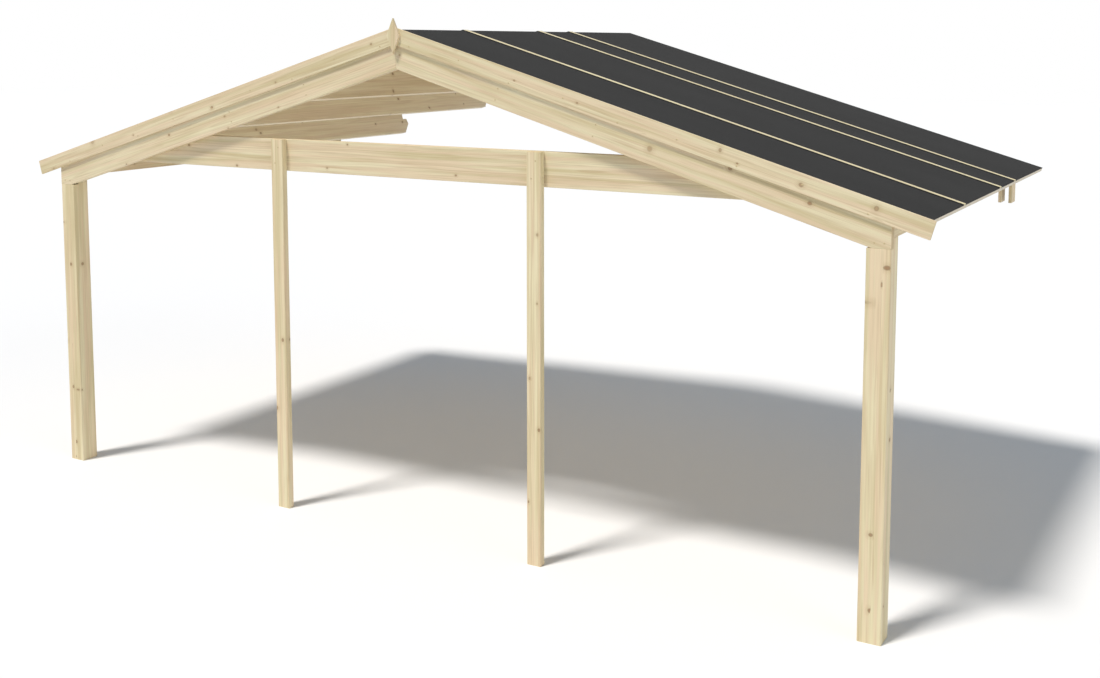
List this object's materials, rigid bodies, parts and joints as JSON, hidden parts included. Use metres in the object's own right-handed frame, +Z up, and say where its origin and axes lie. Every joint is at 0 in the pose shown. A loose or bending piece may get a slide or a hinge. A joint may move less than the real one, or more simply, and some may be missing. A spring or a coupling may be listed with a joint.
{
  "type": "patio roof",
  "caption": "Open timber gable roof for a patio: front posts, tie beam, rafters, bargeboards with a lozenge finial, purlins and a felted deck, hooked on to a cabin at the rear.",
  "frame": {"origin": "centre of the left corner post's foot, on the ground", "axes": "+X along the front from the left corner post to the right one, +Y back under the roof, +Z up"},
  "size_m": [6.1774, 3.039, 3.0621],
  "materials": {
    "planed_spruce": "planed untreated spruce",
    "roofing_felt": "mineral faced bitumen felt"
  },
  "bodies": {
    "root": {"left_corner_post": "planed_spruce", "right_corner_post": "planed_spruce", "left_middle_post": "planed_spruce", "right_middle_post": "planed_spruce", "left_front_rafter": "planed_spruce", "right_front_rafter": "planed_spruce", "left_wall_plate": "planed_spruce", "right_wall_plate": "planed_spruce", "left_inner_plate_cheek": "planed_spruce", "right_inner_plate_cheek": "planed_spruce", "left_outer_plate_cheek": "planed_spruce", "right_outer_plate_cheek": "planed_spruce", "left_upper_purlin": "planed_spruce", "right_upper_purlin": "planed_spruce", "left_middle_purlin": "planed_spruce", "right_middle_purlin": "planed_spruce", "left_lower_purlin": "planed_spruce", "right_lower_purlin": "planed_spruce", "left_roof_deck": "planed_spruce", "right_roof_deck": "planed_spruce", "left_felt_batten_1": "planed_spruce", "right_felt_batten_1": "planed_spruce", "left_felt_batten_2": "planed_spruce", "right_felt_batten_2": "planed_spruce", "left_felt_batten_3": "planed_spruce", "right_felt_batten_3": "planed_spruce", "left_felt_strip_1": "roofing_felt", "right_felt_strip_1": "roofing_felt", "left_felt_strip_2": "roofing_felt", "right_felt_strip_2": "roofing_felt", "left_felt_strip_3": "roofing_felt", "right_felt_strip_3": "roofing_felt", "left_felt_strip_4": "roofing_felt", "right_felt_strip_4": "roofing_felt", "left_bargeboard": "planed_spruce", "right_bargeboard": "planed_spruce", "tie_beam": "planed_spruce", "ridge_purlin": "planed_spruce", "ridge_finial": "planed_spruce"}
  },
  "joints": []
}
